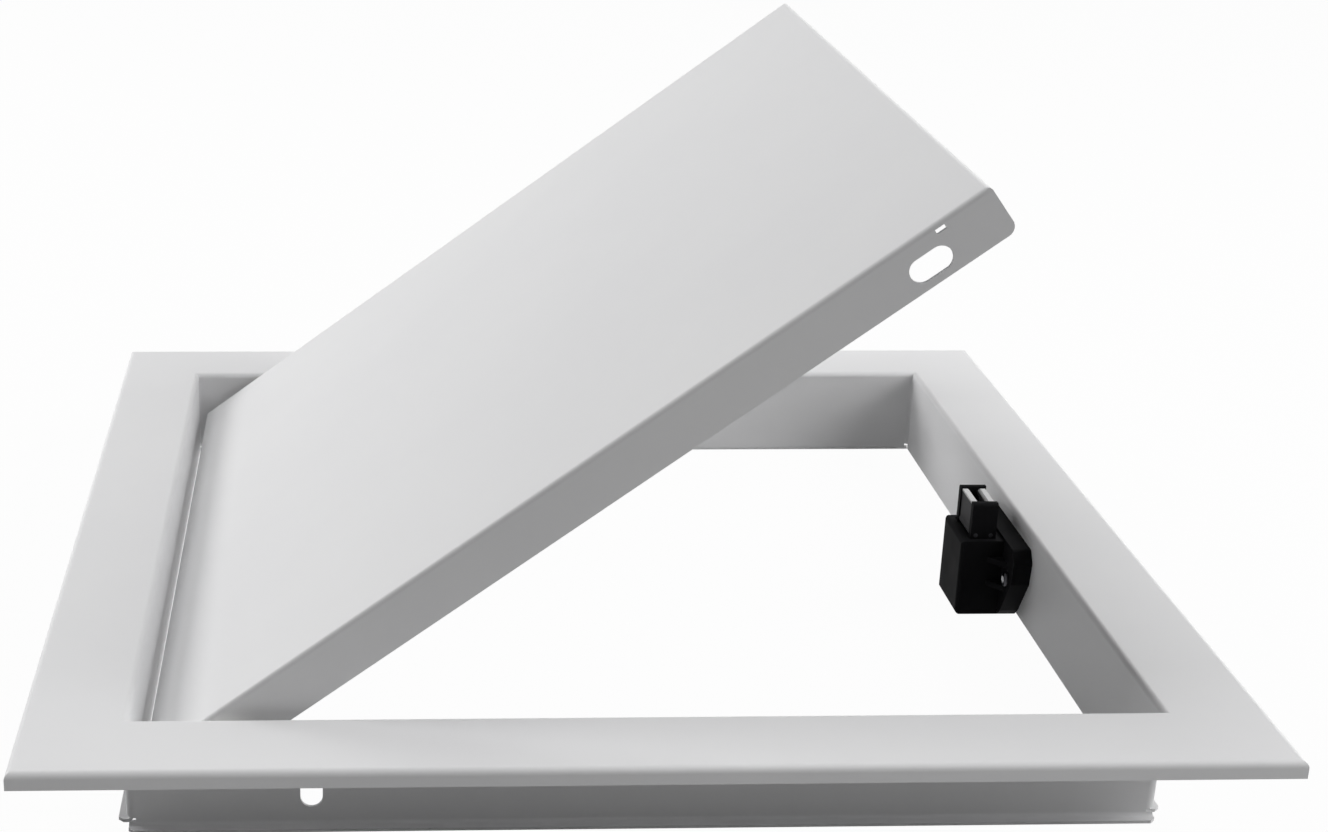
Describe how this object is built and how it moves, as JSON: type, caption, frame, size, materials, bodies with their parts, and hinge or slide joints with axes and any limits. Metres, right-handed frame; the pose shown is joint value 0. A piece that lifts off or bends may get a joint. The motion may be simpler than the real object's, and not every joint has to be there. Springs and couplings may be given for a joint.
{
  "type": "ceiling access panel",
  "caption": "Square steel ceiling access panel: flanged frame with a shallow door on two side pins and a push-to-open catch.",
  "frame": {"origin": "middle of the frame's footprint, at the underside of its bottom lips", "axes": "+Z towards the room, +X from the hinge side to the catch side, +Y along the hinge line"},
  "size_m": [0.362, 0.362, 0.1904],
  "materials": {
    "white_powder_coat": "satin white powder coat",
    "zinc_plated_steel": "bright zinc plate",
    "black_zinc_steel": "black passivated zinc plate",
    "spring_steel": "drawn steel wire",
    "white_nylon": "natural nylon",
    "black_plastic": "fine moulded texture",
    "grey_plastic": "smooth moulding"
  },
  "bodies": {
    "frame": {"front_rail": "white_powder_coat", "rear_rail": "white_powder_coat", "hinge_rail": "white_powder_coat", "latch_rail": "white_powder_coat", "hinge_spacer_front": "white_nylon", "hinge_spacer_rear": "white_nylon", "latch_housing": "black_plastic", "latch_cover": "black_plastic", "latch_spring": "spring_steel", "cam_follower": "spring_steel", "latch_screws": "black_zinc_steel", "latch_nuts": "zinc_plated_steel"},
    "hinge_pins": {"hinge_pin_front": "zinc_plated_steel", "hinge_pin_rear": "zinc_plated_steel", "pin_clip_front": "spring_steel", "pin_clip_rear": "spring_steel"},
    "door": {"door_pan": "white_powder_coat", "strike": "zinc_plated_steel", "strike_studs": "zinc_plated_steel", "strike_nuts": "zinc_plated_steel"},
    "carriage": {"latch_carriage": "black_plastic", "jaw_pins": "black_zinc_steel"},
    "inner_jaw": {"jaw_inner": "grey_plastic"},
    "outer_jaw": {"jaw_outer": "grey_plastic"}
  },
  "joints": [
    {"name": "door_press", "type": "hinge", "parent": "frame", "child": "hinge_pins", "pos_m": [-0.1223, 0, 0.0258], "axis": [0, -1, 0], "range_deg": [-2.2, 0], "stiffness_Nm_per_rad": 67, "springref_deg": 2.22},
    {"name": "door_swing", "type": "hinge", "parent": "hinge_pins", "child": "door", "pos_m": [-0.1223, 0, 0.0258], "axis": [0, -1, 0], "range_deg": [-34.4, 53.4]},
    {"name": "carriage_slide", "type": "slide", "parent": "frame", "child": "carriage", "axis": [0, 0, 1], "range_m": [-0.0099, 0], "deforming": ["latch_spring"]},
    {"name": "inner_jaw_turn", "type": "hinge", "parent": "carriage", "child": "inner_jaw", "pos_m": [0.1338, 0, 0.0297], "axis": [0, 1, 0], "range_deg": [0, 3.2]},
    {"name": "outer_jaw_turn", "type": "hinge", "parent": "carriage", "child": "outer_jaw", "pos_m": [0.1392, 0, 0.0297], "axis": [0, -1, 0], "range_deg": [0, 3.2]}
  ],
  "couplings": [
    {"joint": "carriage_slide", "follows": "door_press", "m_per_rad": 0.2578},
    {"joint": "inner_jaw_turn", "follows": "door_press", "ratio": -1.45},
    {"joint": "outer_jaw_turn", "follows": "door_press", "ratio": -1.45}
  ]
}
